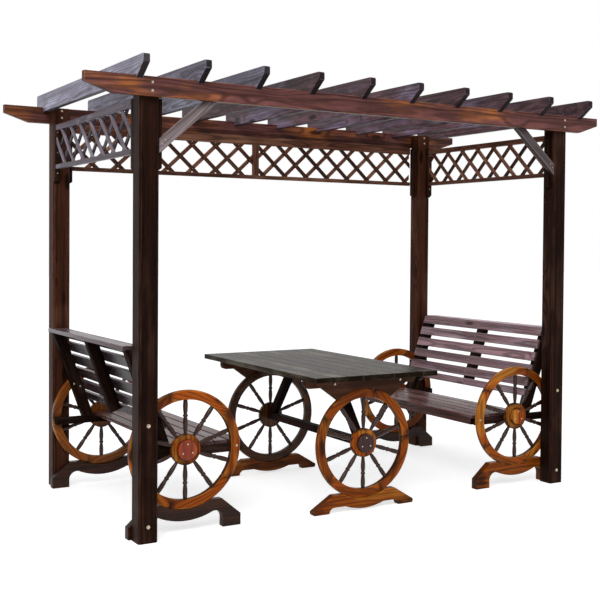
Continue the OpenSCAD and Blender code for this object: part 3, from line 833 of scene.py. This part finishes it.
tone = add(
    ring_tree, "FunctionNodeRandomValue", {"Seed": given["Seed"]}, data_type="FLOAT"
).outputs[1]
toned = add(
    ring_tree,
    "GeometryNodeStoreNamedAttribute",
    {"Geometry": copies, "Name": "board", "Value": tone},
    data_type="FLOAT",
    domain="INSTANCE",
).outputs["Geometry"]
moved = add(
    ring_tree,
    "GeometryNodeTranslateInstances",
    {"Instances": toned, "Translation": given["Hub"], "Local Space": False},
).outputs["Instances"]
close_tree(ring_tree, moved, given)


def spoke_radius(share):
    """The turning: a long swelling from the hub, a bead, and a shorter swelling to the rim."""
    bead_at, bead_half, bead_foot, bead_height = 0.54, 0.028, 0.0008, 0.0014
    from_bead = share - bead_at
    if abs(from_bead) < bead_half:
        return spoke_thick - bead_foot + bead_height * math.cos(from_bead / bead_half * math.pi / 2)
    if share < bead_at:
        swell = math.sin(math.pi * (share / bead_at) ** 1.3)
    else:
        swell = math.sin(math.radians(150) * from_bead / (1 - bead_at))
    return spoke_thin + (spoke_thick - spoke_thin) * swell


in_hub, off_rim, steps = 0.004, 0.0003, 60
spoke_from, spoke_to = hub_radius - in_hub, wheel_radius - rim_width - off_rim
spoke_mesh = turned(
    [(0, spoke_from)]
    + [
        (spoke_radius(k / steps), spoke_from + (spoke_to - spoke_from) * k / steps)
        for k in range(steps + 1)
    ]
    + [(0, spoke_to)],
    20,
)
for face in spoke_mesh.faces:
    face.smooth = True
spoke_mesh.faces.layers.float.new("worn_highlit_edge")
lay_grain(spoke_mesh, "spoke", along=(0, 0, 1))
spoke_pattern = pattern_object(spoke_mesh, "spoke pattern")

back_bevel, front_bevel = 0.002, 0.003
hub_outline = [
    (0, -wheel_half),
    (hub_radius - back_bevel, -wheel_half),
    (hub_radius, back_bevel - wheel_half),
    (hub_radius, wheel_half - front_bevel),
    (hub_radius - front_bevel, wheel_half),
    (0, wheel_half),
]
boss_foot, boss_face, boss_round = wheel_half - front_bevel, wheel_half + boss_height, 0.006
boss_outline = [(0, boss_foot), (boss_radius, boss_foot)]
for k in range(7):
    a = math.radians(15 * k)
    boss_outline.append(
        (boss_radius + boss_round * (math.cos(a) - 1), boss_face + boss_round * (math.sin(a) - 1))
    )
boss_outline.append((0, boss_face))
wheels = [
    (f"{place}_{end}", -1 if end == "front" else 1)
    for place in ("bench_left", "bench_right", "table")
    for end in ("front", "back")
]
boss_screws, boss_screw_ring, around_hub, flat = [], 0.030, 64, 0.99
rim_bolts, rim_bolt_out, rim_bolt_drop = [], 0.280, 0.004
for number, (wheel, outward) in enumerate(wheels):
    low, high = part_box(wheel + "_felloes")
    centre = (low + high) / 2
    wheel_finish = shaded_rims.get(wheel, rim_finish)
    # The rim faces that look towards the hub are marked for painted shade.
    timber(wheel + "_felloes", wheel_finish, ease=0.0025, hub=centre)
    spokes = grow(
        ring_tree,
        wheel + "_spokes_turned",
        bpy.data.meshes.new(wheel + "_spokes_turned"),
        "spoke_wood",
        Spoke=spoke_pattern,
        Spokes=spoke_count,
        Hub=centre,
        Seed=number,
        Finish=spoke_finish,
    )
    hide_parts(wheel + "_spokes")
    for part, outline, finish in (
        ("hub", hub_outline, wheel_finish),
        ("boss", boss_outline, boss_finishes.get(wheel, wheel_finish)),
    ):
        mesh = turned(outline, around_hub)
        mesh.faces.layers.float.new("worn_highlit_edge")
        for face in mesh.faces:
            face.smooth = abs(face.normal.z) < flat
        bmesh.ops.rotate(
            mesh, verts=mesh.verts, matrix=Matrix.Rotation(math.pi / 2 * -outward, 3, "X")
        )
        bmesh.ops.translate(mesh, verts=mesh.verts, vec=centre)
        lay_grain(mesh, wheel + part, along=(0, 0, 1))
        disc = piece_from(mesh, f"{wheel}_{part}", finish)
        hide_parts(wheel + "_spokes")
    screw_y = centre.y + outward * boss_face
    for k in range(3):
        a = math.radians(90 + 120 * k)
        screw_x = centre.x + boss_screw_ring * math.cos(a)
        screw_z = centre.z + boss_screw_ring * math.sin(a)
        boss_screws.append(((screw_x, screw_y, screw_z), (0, outward, 0)))
    if wheel.startswith("bench"):
        rim_y = centre.y + outward * wheel_half
        for side_of_hub in (-1, 1):
            rim_x = centre.x + side_of_hub * rim_bolt_out
            rim_bolts.append(((rim_x, rim_y, centre.z - rim_bolt_drop), (0, outward, 0)))
fix("boss_screws", screw_head, zinc, boss_screws, seed=7)
fix("rim_bolts", small_bolt, zinc, rim_bolts, seed=8)

# ---- Feet ----
# Sawn boards with an arch and a hollow seat for the wheel, bolted to the posts under the benches
# and loose under the table.

# Amber like the rims but a shade darker, with burnt tips.
foot_finish = wood_finish(
    "varnished softwood, brown amber",
    "#92460a", "#c47c2e", "#220e04",
    streaks=0.5, patches=0.6, late_wood=0.010, gloss=0.30, varnish=0.05, shine=0.06, tips=0.7,
    painted_shade="#301506",
)
# Nearly black, for the left bench's feet and the right bench's back one.
dark_foot_finish = wood_finish(
    "scorched softwood, black brown varnish",
    "#3c2013", "#754428", "#0e0603",
    streaks=0.6, patches=0.5, late_wood=0.008, gloss=0.32, varnish=0.08, painted_shade="#120805",
)
# A deep red amber, for the table's back foot.
shaded_foot_finish = wood_finish(
    "varnished softwood, dark red amber",
    "#6e340f", "#a06228", "#1c0b04",
    streaks=0.5, patches=0.6, late_wood=0.010, gloss=0.30, varnish=0.05, shine=0.06, tips=0.7,
    painted_shade="#261005",
)
table_feet = timber("table_feet", foot_finish, ease=0.0035)
timber("bench_left_feet", dark_foot_finish, ease=0.0035)
right_feet = timber("bench_right_feet", foot_finish, ease=0.0035)
for feet, rear_finish in ((table_feet, shaded_foot_finish), (right_feet, dark_foot_finish)):
    feet.data.materials.append(rear_finish)
    for face in feet.data.polygons:
        face.material_index = 1 if face.center.y > 0 else 0

# ---- Benches ----
# Five seat planks on two side rails that are bolted to the rims, and a leaning back of six slats
# and a cap board on three uprights.

# Plum brown with pale patches, smooth and glossy.
bench_finish = wood_finish(
    "stained pine, plum brown varnish",
    "#663b32", "#987e84", "#1a0c08",
    streaks=0.55, patches=0.6, late_wood=0.007, gloss=0.28, varnish=0.10,
    shine=0.06, painted_shade="#1a100b", spread=0.45,
)
# The left back is dusky with painted shade, as it is seen from its shaded back, and the right one
# is heather with a painted sheen of the sky.
lit_and_shaded_backrests = {
    "left": wood_finish(
        "stained pine, plum varnish in painted shade",
        "#5c4a4e", "#8c7e8a", "#1c100c",
        streaks=0.6, patches=0.6, late_wood=0.007, gloss=0.28, varnish=0.06,
        shine=0.10, painted_shade="#160d09", spread=0.55,
    ),
    "right": wood_finish(
        "stained pine, plum varnish with painted heather sheen",
        "#ac868e", "#d6c2d0", "#2a1712",
        streaks=0.6, patches=0.6, late_wood=0.007, gloss=0.28, varnish=0.08,
        shine=0.12, painted_shade="#1a100b", spread=0.6,
    ),
}
# Nearly black and dull, so what carries the boards stands back behind them.
bearer_finish = wood_finish(
    "scorched pine, black plum varnish",
    "#21140f", "#4a3630", "#090503",
    streaks=0.6, patches=0.5, late_wood=0.007, gloss=0.50, varnish=0.0, shine=0.010,
    painted_shade="#150b07",
)
# The apron board lies between the two rails and is finished like the seat.
apron_inside = 0.05
for side in ("left", "right"):
    timber(f"bench_{side}_seat", bench_finish, ease=0.003)
    timber(f"bench_{side}_backrest", lit_and_shaded_backrests[side], ease=0.003)
    timber(f"bench_{side}_uprights", bearer_finish, ease=0.003)
    seat_frame = timber(f"bench_{side}_seat_frame", bearer_finish, ease=0.003)
    seat_frame.data.materials.append(bench_finish)
    seat_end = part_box(f"bench_{side}_seat")[1].y
    for face in seat_frame.data.polygons:
        face.material_index = 1 if abs(face.center.y) < seat_end - apron_inside else 0
seat_screws, upright_bolts = [], []
upright_middle, plank_screw_in, upright_face_in = 0.022, 0.018, 0.045
back_lean = (0.94, 0.33)
bolts_out_and_up = ((0.186, 0.617), (0.149, 0.602))
for side, inward in (("left", 1), ("right", -1)):
    uprights_low, uprights_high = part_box(f"bench_{side}_uprights")
    over_uprights = (uprights_low.y + upright_middle, 0, uprights_high.y - upright_middle)
    back_way = (inward * back_lean[0], 0, back_lean[1])
    for middle, facing_way in board_faces(f"bench_{side}_backrest", back_way):
        for y in over_uprights:
            seat_screws.append(((middle.x, y, middle.z), facing_way))
    seat_low, seat_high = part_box(f"bench_{side}_seat")
    for middle, facing_way in board_faces(f"bench_{side}_seat", (0, 0, 1)):
        for y in (seat_low.y + plank_screw_in, seat_high.y - plank_screw_in):
            seat_screws.append(((middle.x, y, middle.z), facing_way))
    wheel_low, wheel_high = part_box(f"bench_{side}_front_felloes")
    wheel_middle = (wheel_low.x + wheel_high.x) / 2
    for end_face, direction in (
        (uprights_low.y + upright_face_in, 1),
        (uprights_high.y - upright_face_in, -1),
    ):
        for out, height in bolts_out_and_up:
            upright_bolts.append(((wheel_middle - inward * out, end_face, height), (0, direction, 0)))
fix("seat_screws", screw_head, screw_steel, seat_screws, seed=14)
fix("upright_bolts", small_bolt, zinc, upright_bolts, seed=15)

# ---- Table ----
# Eight planks on two battens, with slanted aprons that sit on the wheels, a stretcher from hub to
# hub and two leaning braces. The top is stained a dark grey green.

# Dark olive with pale grain and hardly any reflection.
table_finish = wood_finish(
    "stained pine, grey olive varnish",
    "#30261b", "#786f62", "#120a05",
    streaks=0.55, patches=0.75, late_wood=0.008, gloss=0.30, varnish=0.0,
    shine=0.020, painted_shade="#1e110a", ends=0.75,
)
# Dark brown, and a little brighter than the black under it.
leg_finish = wood_finish(
    "stained pine, dark brown varnish",
    "#532d18", "#86523a", "#170a05",
    streaks=0.5, patches=0.5, late_wood=0.008, gloss=0.32, varnish=0.04, shine=0.06,
    painted_shade="#1c0f08",
)
timber("table_top", table_finish, ease=0.0012)
timber("table_aprons", leg_finish, ease=0.0025)
for part in ("stretcher", "braces"):
    timber("table_" + part, bearer_finish, ease=0.0025)
apron_low, apron_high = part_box("table_aprons")
apron_middle = (apron_low.x + apron_high.x) / 2
bolt_drop, bolts_along = 0.029, (-0.193, 0.236)
table_bolts = [
    ((apron_middle + along, face, apron_high.z - bolt_drop), (0, outward, 0))
    for along in bolts_along
    for face, outward in ((apron_low.y, -1), (apron_high.y, 1))
]
fix("table_bolts", small_bolt, zinc, table_bolts, seed=9)
table_screws, batten_in, screws_across = [], 0.046, (-0.022, 0.022)
for middle, _ in board_faces("table_top", (0, 0, 1)):
    for over_batten in (apron_low.y + batten_in, apron_high.y - batten_in):
        for across in screws_across:
            table_screws.append(((middle.x + across, over_batten, middle.z), (0, 0, 1)))
fix("table_screws", screw_head, screw_steel, table_screws, seed=16)

# ---- Floor, light and camera ----
# A pale studio floor, an even white surround and one broad soft lamp from the front left. The
# camera stands off the front left corner, a little below eye height.
far, floor_glow, surround_light = 40, 0.60, 0.62
floor_mesh = bpy.data.meshes.new("floor")
floor_mesh.from_pydata(
    [(-far, -far, 0), (far, -far, 0), (far, far, 0), (-far, far, 0)], [], [(0, 1, 2, 3)]
)
floor = bpy.data.objects.new("floor", floor_mesh)
bpy.context.scene.collection.objects.link(floor)
floor_paint = bpy.data.materials.new("pale studio floor")
floor_paint.use_nodes = True
tree = floor_paint.node_tree
tree.nodes.clear()
ray = add(tree, "ShaderNodeLightPath").outputs
seen = add(
    tree, "ShaderNodeMath", {0: ray["Is Camera Ray"], 1: ray["Is Glossy Ray"]}, operation="MAXIMUM"
).outputs[0]
strength = add(tree, "ShaderNodeMath", {0: seen, 1: floor_glow}, operation="MULTIPLY").outputs[0]
glow = add(tree, "ShaderNodeEmission", {"Color": (1, 1, 1, 1), "Strength": strength})
matt = add(tree, "ShaderNodeBsdfDiffuse", {"Color": (0.82, 0.82, 0.82, 1)})
both = add(tree, "ShaderNodeAddShader", {0: glow.outputs[0], 1: matt.outputs[0]})
add(tree, "ShaderNodeOutputMaterial", {"Surface": both.outputs[0]})
floor_mesh.materials.append(floor_paint)

world = bpy.data.worlds.new("studio")
bpy.context.scene.world = world
world.use_nodes = True
tree = world.node_tree
tree.nodes.clear()
ray = add(tree, "ShaderNodeLightPath").outputs
seen = add(
    tree, "ShaderNodeMath", {0: ray["Is Camera Ray"], 1: ray["Is Transmission Ray"]}, operation="MAXIMUM"
).outputs[0]
seen = add(tree, "ShaderNodeMath", {0: seen, 1: ray["Is Glossy Ray"]}, operation="MAXIMUM").outputs[0]
lit = add(tree, "ShaderNodeBackground", {"Color": (0.95, 0.97, 1.0, 1), "Strength": surround_light})
shown = add(tree, "ShaderNodeBackground", {"Color": (1, 1, 1, 1), "Strength": 1.0})
surround = add(tree, "ShaderNodeMixShader", {0: seen, 1: lit.outputs[0], 2: shown.outputs[0]})
add(tree, "ShaderNodeOutputWorld", {"Surface": surround.outputs[0]})

lamp_data = bpy.data.lights.new("soft lamp", "AREA")
lamp_data.shape = "RECTANGLE"
lamp_data.size, lamp_data.size_y = 5.0, 4.0
lamp_data.energy = 380
lamp_data.color = (1.0, 0.97, 0.93)
lamp = bpy.data.objects.new("soft lamp", lamp_data)
lamp.location = (-4.5, -6.0, 6.5)
lamp.rotation_euler = (Vector((0, 0, 0.8)) - lamp.location).to_track_quat("-Z", "Y").to_euler()
bpy.context.scene.collection.objects.link(lamp)

camera_data = bpy.data.cameras.new("camera")
camera_data.lens = 63.107
camera_data.sensor_width = 36
camera_data.shift_x, camera_data.shift_y = -0.0601, -0.0490
camera = bpy.data.objects.new("camera", camera_data)
eye = (-3.1978, -5.5204, 1.4467)
yaw, pitch, roll = 0.5499, -0.0237, 0.0080
ahead = Vector((math.sin(yaw) * math.cos(pitch), math.cos(yaw) * math.cos(pitch), math.sin(pitch)))
level = Vector((math.cos(yaw), -math.sin(yaw), 0))
above = level.cross(ahead)
right = level * math.cos(roll) + above * math.sin(roll)
up = above * math.cos(roll) - level * math.sin(roll)
looking_way = Matrix((right, up, -ahead)).transposed().to_4x4()
camera.matrix_world = Matrix.Translation(eye) @ looking_way
bpy.context.scene.collection.objects.link(camera)
bpy.context.scene.camera = camera
bpy.context.scene.view_settings.view_transform = "Standard"
